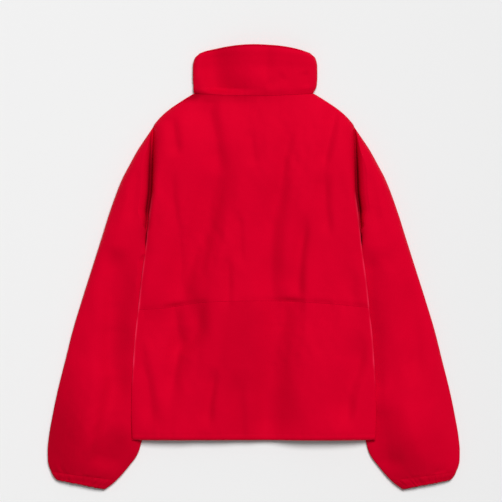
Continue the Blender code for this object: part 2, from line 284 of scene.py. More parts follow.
BODY_HALF = (
    (310.5, 108), (304, 119), (296, 131.5), (285.3, 147.5), (274.5, 161),
    (263.7, 171.7), (251, 180.3), (220, 181.3), (190, 181.8), (138, 183),
    (110, 186.3), (90, 189), (75, 190.4), (55, 191.6), (30, 194.2),
    (4, 197.8), (-20, 201), (-46, 204), (-74, 207), (-100, 210),
    (-141, 213.8), (-180, 216.3), (-225, 218.6), (-265, 219.4), (-311.4, 218))
BODY_CROWN = (
    (310.5, 19), (285, 20.2), (251, 22.8), (220, 25.4), (170, 26.6), (110, 26.4),
    (50, 25.2), (0, 24.5), (-74, 24.5), (-200, 22.6), (-311.4, 21.4))
# how square the body's edge is, and how round: upright in the armhole, flat along the side
BODY_SQUARE = ((310.5, 4), (265, 6), (242, 14), (215, 22), (175, 34),
               (145, 50), (75, 56), (50, 40), (20, 16), (-311.4, 9))
BODY_ROUND = ((310.5, 0.5), (262, 0.55), (235, 0.75), (175, 0.70), (140, 0.58),
              (75, 0.5), (45, 0.7), (10, 0.85), (-250, 0.85), (-311.4, 0.6))
BEAD, BEAD_IN = 0.25, 1.3             # height of the side seam's turned edge, and its place


def arm_share(y):
    """How far down the armhole a height is: 0 at the shoulder, 1 at the underarm."""
    return np.clip((SHOULDER_Y - y) / (SHOULDER_Y - UNDERARM_Y), 0.0, 1.0)


def armhole_seam(s):
    """Height of the seam at the bottom of the armhole's groove, s from shoulder to underarm."""
    ends = SHOULDER_EDGE + (UNDERARM_EDGE - SHOULDER_EDGE) * s
    return ends + (ARMHOLE_SEAM - ends) * smooth(s / 0.16) * smooth((1.0 - s) / 0.10)


def side_fall(y):
    """How much the side edge has come down, from the hip to the hem."""
    return SIDE_FALL * smooth((-120.0 - y) / 190.0)


def back_edge(y):
    """Height of the back's edge: shoulder, groove of the armhole, then the raised side."""
    s = arm_share(y)
    side = (SIDE_EDGE - UNDERARM_EDGE) * smooth((UNDERARM_Y - y) / SIDE_RISE)
    return armhole_seam(s) + side + 0.1 - side_fall(y)


def row_arch(y):
    """How far a row rises in its middle: hollow neck, arched waist, straight hem."""
    neck = NECK_ARCH * smooth((y - SHOULDER_Y) / (NECK_Y - SHOULDER_Y))
    waist = WAIST_ARCH * smooth((UNDERARM_Y - y) / (UNDERARM_Y - WAIST_Y))
    hem = WAIST_ARCH * smooth((y - HEM_Y) / (WAIST_Y - HEM_Y))
    return neck + np.where(y > WAIST_Y, waist, hem)


# %% [markdown]
# ## The back's creases
#
# A jacket that was worn and then laid down keeps long vertical creases. The strongest here
# runs in an S from the collar past the shoulder blade to the waist, and a wide one on the
# other side has a bright ridge next to it. Below the seam the cloth starts again, so the
# creases there don't line up with those above.

# %% Creases of the back: path, west, east, depth
WAIST_FOLD = (((-270, -100), (-170, -102), (-70, -96)), 90, 44, 6)
BACK_CREASES = {
    "upper": (
        (((-82, 312), (-80, 276), (-72, 240), (-66, 204), (-60, 156)), 24, 14, 6.2),
        (((-52, 226), (-66, 170), (-73, 138), (-78, 102), (-86, 66), (-103, 30), (-117, -6),
          (-128, -42), (-134, -150)), 36, 24, 13),
        (((70, 266), (60, 218), (52, 172), (47, 128), (40, 84)), 18, 12, 4.2),
        (((44, 166), (37, 110), (30, 66), (27, 22), (27, -24), (34, -150)), 32, 20, 10),
        (((54, 20), (58, -30), (62, -150)), 24, 24, 5),
        (((93, 104), (90, 66), (84, 22), (81, -20), (80, -90)), 14, 9, 5.4),
        (((-148, 274), (-142, 236), (-136, 192)), 15, 9, 3.4),
        (((-150, 180), (-146, 136), (-141, 92), (-136, 48), (-134, 4), (-136, -48)),
         17, 9, 3.4),
        (((152, 312), (142, 262), (130, 208), (118, 160)), 17, 10, 4.6),
        (((124, 184), (126, 136), (130, 92), (134, 44)), 15, 9, 3.4),
        (((-6, 250), (-3, 214), (3, 176)), 14, 8, 2.2),
        (((-30, 112), (-27, 72), (-24, 30), (-21, -8)), 13, 8, 2.6),
        (((-48, 24), (-46, -20), (-44, -90)), 12, 8, 3),
        (((168, 30), (173, -50), (177, -160)), 24, 15, 3.4),
        WAIST_FOLD,
    ),
    "lower": (
        WAIST_FOLD,
        (((-106, 10), (-102, -80), (-101, -106), (-112, -130), (-139, -155), (-143, -180),
          (-147, -215), (-150, -270)), 22, 16, 8),
        (((-150, 60), (-148, -60), (-141, -100), (-136, -140), (-140, -186)), 46, 14, 8),
        (((50, 60), (46, -76), (43, -116), (39, -176)), 30, 24, 13.4),
        (((38, -110), (33, -180), (26, -230), (28, -290), (30, -340)), 32, 38, 13),
        (((98, -90), (98, -150), (102, -210), (102, -280), (98, -400)), 46, 60, -6),
        (((-70, -174), (-74, -214), (-80, -250), (-82, -296)), 16, 9, 5),
        (((-26, -180), (-28, -230), (-25, -270), (-24, -340)), 20, 14, 5),
        (((-208, -130), (-200, -180), (-190, -212), (-186, -250), (-180, -300)),
         18, 12, 4.6),
        (((192, -110), (187, -170), (175, -208), (168, -244), (162, -300)), 34, 14, 6.4),
        (((-205, -303), (-150, -303), (-95, -303)), 14, 30, -2.4),
        (((124, -303), (160, -303), (205, -303)), 14, 30, -2),
    ),
}

# %% The back as a surface
SEAM_ABOVE, SEAM_UNDER = 6.0, 60.0   # widths of the valley where the back is sewn
SEAM_DIP = (                         # its depth at places across the back
    (-200, 0.8), (-170, 0.8), (-140, 4.4), (-114, 2), (-88, 1.2), (-60, 0.2), (-34, 0.2),
    (-7, 0.6), (20, 0.9), (47, 1.8), (66, 4.6), (80, 4.4), (96, 1), (119, 2.1), (155, 0.9),
    (184, 1.6))
SEAM_SAG = 6.0                       # how far that seam sags towards the left side
NECK_DIP = ((-110, 4.6), (-50, 4.4), (0, 3), (30, 1.6), (110, 1.3))   # the neck's valley
NECK_ABOVE, NECK_UNDER = 10, 42.0
# painted shade along the collar's seam, at places across the back
NECK_SHADE = ((-110, 0.56), (-98, 0.5), (-84, 0.26), (-60, 0.18), (-20, 0.16), (10, 0.10),
              (30, 0.06), (110, 0.05))
NECK_LOW = 4.0                       # its bottom lies this far below the collar's seam
SEAM_BLEND = 24.0                    # how far the creases of one piece reach into the other
HEM_STITCH = 10.5                    # from the hem to its line of stitches
LEAST = 2.3                          # the back stays this high, to lie on the fronts
HEM_ROLL, HEM_DROP = 7.0, 5.0        # the hem's lower edge turns down over this length


def gathers(x, away, size, reach, seed):
    """Small folds square to a seam: ripples along it that fade with distance from it."""
    lines = ripple(x, away, size, 40.0, seed) + 0.5 * ripple(x, away, 0.55 * size, 30.0, seed + 1)
    return lines * np.exp(-away / reach)


def neck_gathers(x, away):
    """Small folds shared by the collar and the body along the seam between them."""
    return 0.45 * gathers(x, 0.5 * away, 11.0, 12.0, 41)


def valley(d, depth, above, under):
    """Valley exp(-(d/width)^2) with one width above its bottom (d > 0) and one under it."""
    return depth * np.exp(-(d / np.where(d > 0.0, above, under)) ** 2)


def rolled(away, length, drop):
    """How far a free edge turns down: a quarter ellipse over the last stretch before it."""
    return drop * lip(np.clip(1.0 - away / length, 0.0, 1.0), 2)


def back_point(u, y):
    """Point of the back: u across from -1 to 1, y the height of its row at the side.

    x is the half width times u, and the row rises in an arch. The height is the edge plus
    the rest of the crown times 1 - |u|^n raised to a power, plus creases, ripples and seams.
    """
    u, y = np.broadcast_arrays(u, y)
    half = curve(BODY_HALF, y)
    x = half * u
    sag = SEAM_SAG * np.exp(-((u + 0.8) / 0.25) ** 2 - ((y - WAIST_Y) / 45.0) ** 2)
    row = y + row_arch(y) * (1.0 - u * u) - sag
    edge, crown = back_edge(y), curve(BODY_CROWN, y)
    fall = (1.0 - np.abs(u) ** curve(BODY_SQUARE, y)) ** curve(BODY_ROUND, y)
    z = edge + (crown - edge) * fall
    flat = 1.0 - np.abs(u) ** 24
    calm = smooth((NECK_Y - y) / 16.0)
    upper = 0.5 + 0.5 * np.tanh((y - WAIST_Y) / SEAM_BLEND)
    folds = (upper * creases(x, row, BACK_CREASES["upper"])
             + (1.0 - upper) * creases(x, row, BACK_CREASES["lower"]))
    z = z + flat * calm * (folds + cloth_ripples(x, row, 11))
    inside = half - np.abs(x)
    side = smooth((UNDERARM_Y - 20.0 - y) / 30.0) * smooth((y + 215.0) / 60.0)
    z = z + BEAD * side * np.exp(-((inside - BEAD_IN) / 1.0) ** 2)
    waist = y - WAIST_Y
    z = z - valley(waist, curve(SEAM_DIP, x), SEAM_ABOVE, SEAM_UNDER)
    z = z + flat * 0.5 * gathers(x, np.abs(waist), 9.0, 12.0, 31)
    neck = y - NECK_Y
    z = z - valley(neck + NECK_LOW, curve(NECK_DIP, x), NECK_ABOVE, NECK_UNDER)
    z = z + flat * neck_gathers(x, -neck)
    hem = y - HEM_Y
    z = z - 0.35 * np.exp(-((hem - HEM_STITCH) / 1.8) ** 2)
    z = z + flat * 0.3 * gathers(x, np.abs(hem - HEM_STITCH), 7.0, 9.0, 51)
    z = z - rolled(hem, HEM_ROLL, HEM_DROP)
    z = LEAST + 0.5 * (z - LEAST + np.hypot(z - LEAST, 2.0))
    return np.stack([x, row, z], -1)


def across(count):
    """Columns from -1 to 1, closer together towards both edges."""
    t = np.linspace(-1.0, 1.0, count)
    return 0.45 * t + 0.55 * np.sin(0.5 * np.pi * t)


# %% Make the back's two pieces
upper_y = graded(WAIST_Y + 0.02, NECK_Y, 2.1, 0.8, 14.0)
lower_y = graded(HEM_Y, WAIST_Y - 0.02, 2.1, 0.8, 14.0)
back_u = across(205)[None, :]


PAINTED_HIGHLIGHT_IN = 1.6              # in the armhole the painted highlight line lies on top of the roll
MIDDLE_SHADE, MIDDLE_X, MIDDLE_WIDE = 0.12, -12.0, 50.0     # painted shade down the lower piece's middle
SIDE_SHADE, SIDE_U, SIDE_WIDE = 0.09, 0.93, 0.09            # and painted shade on a strip inside the right side


def side_painted_highlight(u, y):
    """Painted highlight: 1 on the turned edge of the side seam, 0 elsewhere."""
    inside = curve(BODY_HALF, y) * (1.0 - np.abs(u))
    along = smooth((138.0 - y) / 20.0) * smooth((y + 225.0) / 70.0)
    uneven = 0.80 + 0.20 * waves(y, 0.0 * y, 34.0, 0.3, 77, 8)
    on_top = PAINTED_HIGHLIGHT_IN * smooth((y - 60.0) / 20.0)
    return np.clip(along * uneven * np.exp(-((inside - on_top) / 2.0) ** 2), 0.0, 1.0)


def neck_shade(u, y):
    """Painted shade: how deep the red is painted along the collar's seam, deepest at the left
    shoulder.
    """
    return curve(NECK_SHADE, 108.0 * u) * smooth((y - NECK_Y + 18.0) / 14.0)


def edge_shade(u, y):
    """Painted shade: how deep the red is painted just inside the right side, about the height of
    the waist seam.
    """
    return (SIDE_SHADE * np.exp(-((u - SIDE_U) / SIDE_WIDE) ** 2)
            * smooth((5.0 - y) / 40.0) * smooth((y + 190.0) / 60.0))


def middle_shade(u, y):
    """Painted shade: how deep the red is painted down the middle of the lower piece, the same at
    every height y.
    """
    x = BODY_HALF[-1][1] * u
    return MIDDLE_SHADE * np.exp(-((x - MIDDLE_X) / MIDDLE_WIDE) ** 2)


def back_piece(name, y, deep):
    """One piece of the back over rows y, with a painted highlight on its side seam and painted
    shade from deep and inside its right side.
    """
    y = y[:, None]
    return cloth(name, back_point(back_u, y), upward, painted_highlight=side_painted_highlight(back_u, y),
                 shade=deep(back_u, y) + edge_shade(back_u, y))


back_upper = back_piece("back_upper_cloth", upper_y, neck_shade)
back_lower = back_piece("back_lower_cloth", lower_y, middle_shade)

# %% [markdown]
# ## The fronts and the placket
#
# Nothing of the front shows from above, so it is finished plainly: two panels that meet in
# the middle over a plain strip. They lie flat on the table and turn up at the sides. A few
# faint creases, kept inside the flat area, stop them from looking like sheet metal.

# %% The fronts as surfaces
FRONT_CREASES = (
    (((70, 190), (78, 120), (74, 40)), 9, 12, 1.5),
    (((118, 60), (112, -30), (118, -120)), 8, 11, 1.2),
    (((60, -120), (66, -200), (62, -270)), 10, 13, 1.4),
    (((140, -180), (136, -260)), 7, 9, 1),
)


def front_edge(y):
    """Height of a front's outer edge: 0 in the open armhole, up at shoulder and side."""
    s = arm_share(y)
    ends = SHOULDER_EDGE + (UNDERARM_EDGE - SHOULDER_EDGE) * s
    arm = ends * lip(2 * s - 1, 5)
    side = ends + (SIDE_EDGE - UNDERARM_EDGE) * smooth((UNDERARM_Y - y) / SIDE_RISE)
    return np.where(y > UNDERARM_Y, arm, side - side_fall(y))


def underside(inside, y):
    """Height of a front's lower face, at a distance inside its outer edge."""
    edge = front_edge(y)
    roll = 24.0 + 36.0 * smooth((SHOULDER_Y - y) / 30.0)
    turn = 1.2 * np.minimum(edge / 7.0, 1.0)
    edge = edge - 1.0 * smooth((UNDERARM_Y - y) / SIDE_RISE)
    z = (edge - turn) * smooth((roll - inside) / roll)
    return z + turn * lip(np.clip(1.0 - inside / 2.5, 0.0, 1.0), 2)


def front_point(w, y):
    """Point of the front on +X: w from 0 at the middle to 1 at the side seam.

    It is flat on the table, up by the placket's thickness in the middle, and in its last
    stretch it rises by a soft step to its edge, with a short upright turn at the very end.
    """
    w, y = np.broadcast_arrays(w, y)
    half = curve(BODY_HALF, y)
    x = 0.2 + (half - 0.2) * w
    inside = half - x
    z = underside(inside, y)
    flat = smooth((inside - 20.0) / 30.0)
    z = z - creases(x, y, FRONT_CREASES) * flat
    z = z + PLACKET_LIFT * smooth((PLACKET_FAR - x) / (PLACKET_FAR - PLACKET_NEAR))
    return np.stack([x, y, z], -1)


# %% Make the fronts
MIRROR = np.array([-1.0, 1.0, 1.0])
front_y = graded(HEM_Y, NECK_Y, 3.2, 1.2, 14.0)
front_w = np.sin(0.5 * np.pi * np.linspace(0.0, 1.0, 80))[None, :]
front_grid = front_point(front_w, front_y[:, None])
front_arch = NECK_ARCH * smooth((front_y - SHOULDER_Y) / (NECK_Y - SHOULDER_Y))
front_grid[..., 1] += front_arch[:, None] * (1.0 - front_w ** 2)
front_right = cloth("front_right_cloth", front_grid, downward)
front_left = cloth("front_left_cloth", front_grid * MIRROR, downward)

# %% [markdown]
# ## The collar
#
# A stand collar is one band of cloth, folded along its top and sewn to the neck. Flattened,
# its section is a thin oval, open in the middle of the front. It is wider just above the
# seam than at it, and its top edge is a gentle curve with rounded corners.

# %% Sizes of the collar
# fraction of its height, then y at its ends, half width, arch, crown and edge height
COLLAR_TALL = 75.0        # its height along the cloth
COLLAR_Y = ((0, 310.55), (0.15, 322), (0.42, 341), (0.69, 360), (0.88, 374),
            (1, 382.5))
COLLAR_HALF = ((0, 106.5), (0.15, 110.5), (0.42, 112), (0.69, 111.8), (0.88, 108.5),
               (1, 100))
COLLAR_ARCH = ((0, -5), (0.15, -3), (0.42, 0), (0.69, 4), (0.88, 9), (1, 14))
COLLAR_SHIFT = 2.4        # how far it leans to the right, above its seam
COLLAR_CROWN = ((0, 19), (0.15, 20.8), (0.42, 21.4), (0.60, 21.8), (0.80, 24.4), (0.94, 26.4),
                (0.975, 26.4), (1, 28))
COLLAR_EDGE = ((0, 6.8), (0.42, 6), (0.88, 6), (1, 6))
COLLAR_CREASES = (
    (((-74, 440), (-74, 384), (-74, 358), (-70, 336), (-58, 312), (-32, 286), (10, 250)),
     26, 38, 15),
    (((24, 440), (22, 380), (22, 330)), 15, 14, 2.8),
    (((-118, 336), (-111, 318), (-104, 296)), 9, 14, 8),
    (((92, 352), (96, 334), (98, 318)), 9, 7, 2),
    (((58, 346), (40, 330), (20, 322)), 12, 12, 1.6),
)


def collar_point(a, t):
    """Point of the collar: a round the band from -1 to 1, t from seam to top.

    a runs from the middle front along the underside to one edge at -0.5, over the top, and
    back from the other edge at 0.5. The oval's halves are edge + (crown - edge) times the
    root of 1 - u^4 above, and edge times 1 less the root of 1 - u^6 below.
    """
    a, t = np.broadcast_arrays(a, t)
    over = np.abs(a) <= 0.5
    u = np.where(over, np.sin(np.pi * a), np.sign(a) * np.sin(np.pi * np.abs(a)))
    half = curve(COLLAR_HALF, t)
    u = np.where(over, u, np.sign(a) * np.maximum(np.abs(u), 0.2 / half))
    x = half * u + COLLAR_SHIFT * smooth(t / 0.2)
    y = curve(COLLAR_Y, t) + curve(COLLAR_ARCH, t) * (1.0 - u * u)
    edge, crown = curve(COLLAR_EDGE, t), curve(COLLAR_CROWN, t)
    top = edge + (crown - edge) * np.sqrt(np.clip(1.0 - u ** 4, 0.0, 1.0))
    above = t * COLLAR_TALL
    calm = smooth(above / 12.0)
    top = top + (1.0 - u ** 8) * calm * (creases(x, y, COLLAR_CREASES)
                                         + 0.8 * cloth_ripples(x, y, 71))
    top = top + (1.0 - u ** 8) * neck_gathers(x, above)
    top = top - valley(above + NECK_LOW, curve(NECK_DIP, x), NECK_ABOVE, NECK_UNDER)
    lift = PLACKET_LIFT * smooth((PLACKET_FAR - np.abs(x)) / (PLACKET_FAR - PLACKET_NEAR))
    bottom = edge * lip(u, 6) + lift
    return np.stack([x, y, np.where(over, top, bottom)], -1)


TUBE_MIDDLE = 7.5         # height between a tube's upper and lower halves


def round_tube(centres):
    """Outward direction of a flattened tube: away from its middle height."""
    up = np.zeros_like(centres)
    up[:, 2] = np.sign(centres[:, 2] - TUBE_MIDDLE * MM)
    return up


# %% Make the collar
COLLAR_SHADE = (                     # painted shade: how deep its red is painted along its seam, at places across
    (-110, 0.42), (-98, 0.34), (-84, 0.16), (-60, 0.12), (-20, 0.16), (10, 0.12), (40, 0.04),
    (110, 0.02))
collar_a = np.linspace(-1.0, 1.0, 420)[None, :]
collar_t = graded(0.0, COLLAR_TALL, 1.7, 0.7, 8.0)[:, None] / COLLAR_TALL
collar_grid = collar_point(collar_a, collar_t)
# painted shade along the collar's seam
collar_painted_shade = (curve(COLLAR_SHADE, collar_grid[..., 0])
               * np.exp(-(collar_t * COLLAR_TALL / 7.0) ** 2))
collar = cloth("collar_cloth", collar_grid, round_tube, thickness=1.4 * MM, shade=collar_painted_shade)

# %% [markdown]
# ## The sleeves
#
# Each sleeve is a wide tube that hangs from the armhole and is drawn in at the wrist. Laid
# down it is flattened, flat on the table, highest along its middle, and thin where it goes
# under the side of the body. Its sections fan from the armhole to the cuff: each lies over a
# line from the outer edge to the inner edge. Where it is sewn to the body both roll up from
# the seam, which leaves a narrow dark groove.

# %% Sizes of a sleeve
SLEEVE_LONG, SLEEVE_MIDDLE = 640.0, 560.0    # its length by the outer edge and by the middle
THINNEST = 2.2             # least distance between its two layers
SLEEVE_OUTER = (
    (180.7, 251), (194, 231), (208, 210), (223, 183), (237, 156), (257.4, 102),
    (274.5, 48), (291.6, -6), (308.7, -60), (325, -114), (338.5, -168), (352, -222),
    (361, -265), (368.5, -309), (370.3, -330), (370, -348), (367.5, -360), (364, -368))
SLEEVE_INNER = (
    (189.8, 75), (191.9, 55), (193.2, 40), (192.3, 20), (188.5, -15), (183.5, -70),
    (181.5, -130), (183.5, -190), (189, -250), (197, -295), (203.5, -322),
    (206.5, -332), (212, -343), (221, -354.5), (237, -374), (246, -383.4))
SLEEVE_TOP = ((0, 24), (0.15, 24.2), (0.3, 22.6), (0.45, 19.5), (0.62, 19.5),
              (0.72, 24), (0.80, 29), (0.86, 31), (0.91, 28), (0.95, 22.6),
              (0.98, 17.2), (1, 13.6))
# the armhole's groove: height over its seam at distances out from the body
GROOVE = {
    "left": ((0, -2.2), (2.4, -3.2), (4.4, -3.4), (5.2, -1), (6, 3.6), (7.2, 6.8),
             (9, 9.4), (12, 12.4), (16, 15.2), (20, 17), (30, 30), (40, 60)),
    "right": ((0, -2.2), (2, -3.2), (3.6, -3.4), (4.4, -1), (5.2, 3.6), (6.4, 6.8),
              (8.4, 9.8), (11.4, 13), (15, 15.6), (20, 17), (30, 30), (40, 60)),
}
GROOVE_CLOSE = 1.2         # how much narrower it is at its two ends
GROOVE_SHADE = 0.85        # painted shade: how much deeper the red is painted down in it
CUFF_SHADE = 0.36          # and painted shade towards the cuff, at shares of the way across
# on the left sleeve the painted shade is strongest at the outer side, which faces away from the
# window light
SHADE_ACROSS = {
    "left": ((0, 0.9), (0.25, 0.8), (0.42, 0.45), (0.6, 0.6), (1, 0.7)),
    "right": ((0, 0.15), (0.4, 0.15), (0.6, 0.35), (1, 0.5)),
}
ARMPIT_SHADE = 0.36        # painted shade where the sleeve slips under the body's side
BESIDE_SHADE = {"left": 0.10, "right": 0.11}   # painted shade on the strip of sleeve next to the body's side
HOLLOW_SHADE = {"left": 0.26, "right": 0.0}   # painted shade in the hollow above the cuff, near the body
SLEEVE_PAINTED_SLOPE_SHADE = 0.06         # and painted shade where the sleeve faces away from the window light
SLEEVE_FULL = ((0, 3), (0.1, 4.5), (0.5, 5), (0.65, 3.4), (0.78, 1.6), (0.92, 1.5),
               (1, 1.9))
SLEEVE_ROUND = ((0, 0.5), (0.6, 0.5), (0.78, 0.85), (0.94, 0.80), (1, 0.5))
SLEEVE_OUTER_EDGE = ((0, 6.8), (0.05, 6.4), (0.3, 5.4), (0.9, 5.4), (1, 5.8))
SLEEVE_INNER_EDGE = ((0, 7), (0.02, 9), (0.05, 13), (0.10, 15), (0.18, 9),
                     (0.28, 3.4), (0.7, 3), (0.83, 3.6), (0.93, 6), (1, 6.6))
BELOW, BESIDE = 18.4, 20.2       # its height under the body, and just outside the body's edge
ELBOW_FOLD = (((282, 30), (262, 24), (244, 14), (226, 2)), 15, 22, 1.4)
SLEEVE_CREASES = {
    "left": (
        ELBOW_FOLD,
        (((250, 40), (252, -40), (254, -112)), 30, 18, 7.5),
        (((252, -60), (256, -130), (256, -168), (251, -204), (248, -262)), 29, 18, 11),
        (((206, 184), (214, 124), (222, 62)), 14, 12, 2.6),
        (((310, -40), (318, -110), (326, -190)), 24, 22, 3),
        (((250, -190), (262, -270), (272, -330), (288, -400)), 36, 20, 11),
        (((240, 150), (254, 100), (264, 60)), 14, 14, 2.6),
    ),
    "right": (
        ELBOW_FOLD,
        (((203, 40), (200, -40), (203, -112)), 40, 28, 8),
        (((200, -60), (205, -130), (215, -200), (222, -262)), 38, 27, 9.5),
        (((206, 180), (214, 120), (224, 62)), 12, 12, 2.4),
        (((276, 0), (284, -80), (288, -150), (292, -230)), 20, 22, 5.4),
        (((223, -220), (226, -290), (232, -330), (250, -400)), 26, 28, 7.5),
        (((238, 150), (252, 100), (264, 60)), 12, 12, 2.4),
    ),
}
SLEEVE_SEED = {"left": 101, "right": 131}


# %% A sleeve as a surface
def oval(phase):
    """Place across a flattened tube, -1 to 1, and whether it is the upper half."""
    over = phase <= 0.5
    half = np.where(over, 2.0 * phase, 2.0 - 2.0 * phase)
    return 0.5 * (2.0 * half - 1.0) - 0.5 * np.cos(np.pi * half), over


def under_body(x, y, z):
    """Presses the sleeve down where the body lies on it, and lets it nestle up outside.

    Inside the body's edge the sleeve stays below the front's lower face. Outside, its limit
    grows by a soft step and then a slope.
    """
    inside = curve(BODY_HALF, y) - x
    below = underside(np.maximum(inside, 0.0), y) - 0.1 - 0.3 * smooth(inside / 4.0)
    out = np.maximum(-inside, 0.0)
    beside = BELOW + (BESIDE - BELOW) * smooth(out / 9.0) + 0.10 * out + 0.012 * out * out
    limit = np.where(inside > 0.0, np.minimum(below, BELOW), beside - side_fall(y))
    covered = smooth((UNDERARM_Y - 6.0 - y) / 60.0) * smooth((y - HEM_Y + 16.0) / 14.0)
    limit = limit + 30.0 * (1.0 - covered)
    return np.minimum(z, limit)


def sleeve_point(phase, t, side):
    """Point of a sleeve on +X: phase once round from the outer edge, t armhole to cuff.

    The place across is on the line from outer to inner edge, bent to the armhole at t = 0.
    Above, the height is a power of 1 - |v|^n between the edges, plus creases, and in the
    armhole's groove no more than its seam plus the groove's table. Below, it is flat and
    turns up at both edges. Last, the body presses on it.
    """
    phase, t = np.broadcast_arrays(phase, t)
    v, over = oval(phase)
    s = 0.5 * (v + 1.0)
    outer_x, outer_y = path_at(SLEEVE_OUTER, t)
    inner_x, inner_y = path_at(SLEEVE_INNER, t)
    arm_y = SHOULDER_Y + (UNDERARM_Y - SHOULDER_Y) * s
    start, end = SLEEVE_OUTER[0][0], SLEEVE_INNER[0][0]
    bend = curve(BODY_HALF, arm_y) + 0.05 - (start + (end - start) * s)
    x = outer_x + (inner_x - outer_x) * s + bend * (1.0 - smooth(t / 0.04))
    y = outer_y + (inner_y - outer_y) * s
    size = np.abs(v)
    edge = curve(SLEEVE_OUTER_EDGE, t) * (1 - s) + curve(SLEEVE_INNER_EDGE, t) * s
    full = np.clip(1.0 - size ** curve(SLEEVE_FULL, t), 0.0, 1.0) ** curve(SLEEVE_ROUND, t)
    relief = creases(x, y, SLEEVE_CREASES[side]) + cloth_ripples(x, y, SLEEVE_SEED[side])
    cuff = SLEEVE_LONG * (1.0 - t)
    pleats = 1.2 * gathers(s * 118.0, cuff, 7.5, 16.0, SLEEVE_SEED[side] + 5)
    arm = 0.8 * gathers(arm_y, SLEEVE_LONG * t, 10.0, 16.0, SLEEVE_SEED[side] + 9)
    arm = arm * smooth(t / 0.01)
    top = edge + (curve(SLEEVE_TOP, t) - edge) * full
    relief = relief * smooth(t / 0.03) * smooth((1.0 - t) / 0.09)
    pleats = pleats * smooth((1.0 - t) / 0.012)
    top = top + (1.0 - size ** 6) * (relief + pleats + arm)
    along = arm_share(y)
    opened = smooth(along / 0.35) * smooth((1.0 - along) / 0.16)
    opened = opened * (1.0 - 0.25 * smooth((0.62 - along) / 0.5))
    out = np.maximum(x - curve(BODY_HALF, y), 0.0) * (1.0 + GROOVE_CLOSE * (1.0 - opened))
    wall = curve(GROOVE[side], out)
    wall = np.where(wall < 0.0, wall * opened, wall)
    wall = wall + 40.0 * smooth((UNDERARM_Y - y) / 30.0)
    top = np.minimum(top, armhole_seam(along) + wall)
    top = under_body(x, y, top)
    bottom = edge * lip(size, 8)
    least = bottom + THINNEST * (1.0 - size ** 8)
    return np.stack([x, y, np.where(over, np.maximum(top, least), bottom)], -1)


def sleeve_shade(phase, t, side):
    """Painted shade: how deep the sleeve's red is painted, a sum of bells and soft steps at its
    hollow places.

    They are the groove, the cuff, a hollow above it, the armpit and the strip by the body.
    """
    x, y, z = np.moveaxis(sleeve_point(phase, t, side), -1, 0)
    along = arm_share(y)
    sunk = smooth((20.0 - z) / 14.0) * smooth((22.0 - (x - curve(BODY_HALF, y))) / 12.0)
    s = 0.5 * (oval(phase)[0] + 1.0)
    end = curve(SHADE_ACROSS[side], s) * smooth((t - 0.67 - 0.15 * s) / 0.17)
    out = np.maximum(x - curve(BODY_HALF, y), 0.0)
    armpit = ARMPIT_SHADE * np.exp(-(out / 10.0) ** 2 - ((y - 62.0) / 24.0) ** 2)
    hollow = HOLLOW_SHADE[side] * np.exp(-((s - 0.76) / 0.18) ** 2 - ((t - 0.84) / 0.045) ** 2)
    beside = (BESIDE_SHADE[side] * np.exp(-((out - 16.0) / 17.0) ** 2)
              * smooth((20.0 - y) / 45.0) * smooth((y + 185.0) / 60.0))
    return (GROOVE_SHADE * sunk * smooth(along / 0.45) * smooth((1.02 - along) / 0.2)
            + CUFF_SHADE * end + hollow + armpit + beside)


# %% Make the sleeves
SIDES = {"left": MIRROR, "right": np.ones(3)}
tube_phase = np.concatenate([np.linspace(0.0, 0.5, 113), np.linspace(0.5, 1.0, 39)[1:-1]])[None]
sleeve_t = graded(0.0, SLEEVE_MIDDLE, 2.3, 0.9, 18.0)[:, None] / SLEEVE_MIDDLE
sleeves = {}
for side, sign in SIDES.items():
    grid = sleeve_point(tube_phase, sleeve_t, side) * sign
    sleeves[side] = cloth("sleeve_%s_cloth" % side, grid, round_tube, closed=True,
                          shade=sleeve_shade(tube_phase, sleeve_t, side),
                          turn=SLEEVE_PAINTED_SLOPE_SHADE)

# %% [markdown]
# ## The cuffs
#
# A cuff here is a casing: the sleeve's end is turned in and stitched, and an elastic band
# inside draws it up into small uneven puckers. It is a short tube whose edge is slightly
# scalloped, with its folds running along the arm.

# %% Sizes of a cuff: fraction, outer x, outer y, inner x, inner y, top, edge
CUFF_WIDE, CUFF_TALL = 100.0, 16.0
CUFF_DEEP, CUFF_DEEPER = 0.22, 0.14      # painted shade on the cuff at the sleeve, and what its edge adds
CUFF = np.array((
    (0.00, 364, -368, 246, -383.4, 13.6, 6.6),
    (0.28, 361.8, -373, 251.8, -388.8, 13.2, 6.6),
    (0.68, 358.2, -378.8, 260.4, -395.4, 12.2, 6.4),
    (0.88, 355.8, -381.6, 264.6, -398.4, 12.4, 6.4),
    (1.00, 354, -383.4, 267.7, -400.5, 10.4, 5.8)))


def cuff_point(phase, t, seed):
    """Point of a cuff: a flattened tube, a root of 1 - |v|^n high, with puckers along the arm."""
    phase, t = np.broadcast_arrays(phase, t)
    v, over = oval(phase)
    s, size = 0.5 * (v + 1.0), np.abs(v)
    ox, oy, ix, iy, high, edge = (curve(CUFF[:, [0, k]], t) for k in range(1, 7))
    along, down = s * CUFF_WIDE, t * CUFF_TALL
    pucker = ripple(along, down, 5.0, 26.0, seed) + 0.6 * ripple(along, down, 2.8, 14.0, seed + 1)
    swell = np.sin(np.pi * np.clip(t, 0, 1)) * 0.7 + 0.3
    x = ox + (ix - ox) * s
    y = oy + (iy - oy) * s - 0.5 * pucker * smooth((t - 0.7) / 0.3) * (1.0 - size ** 6)
    round_off = 1.9 + 1.1 * smooth(t / 0.5)
    z_top = edge + (high - edge) * np.sqrt(np.clip(1.0 - size ** round_off, 0.0, 1.0))
    z_top = z_top + 0.9 * pucker * swell * smooth(t / 0.12) * (1.0 - size ** 8)
    z_low = edge * lip(size, 8)
    return np.stack([x, y, np.where(over, z_top, z_low)], -1)


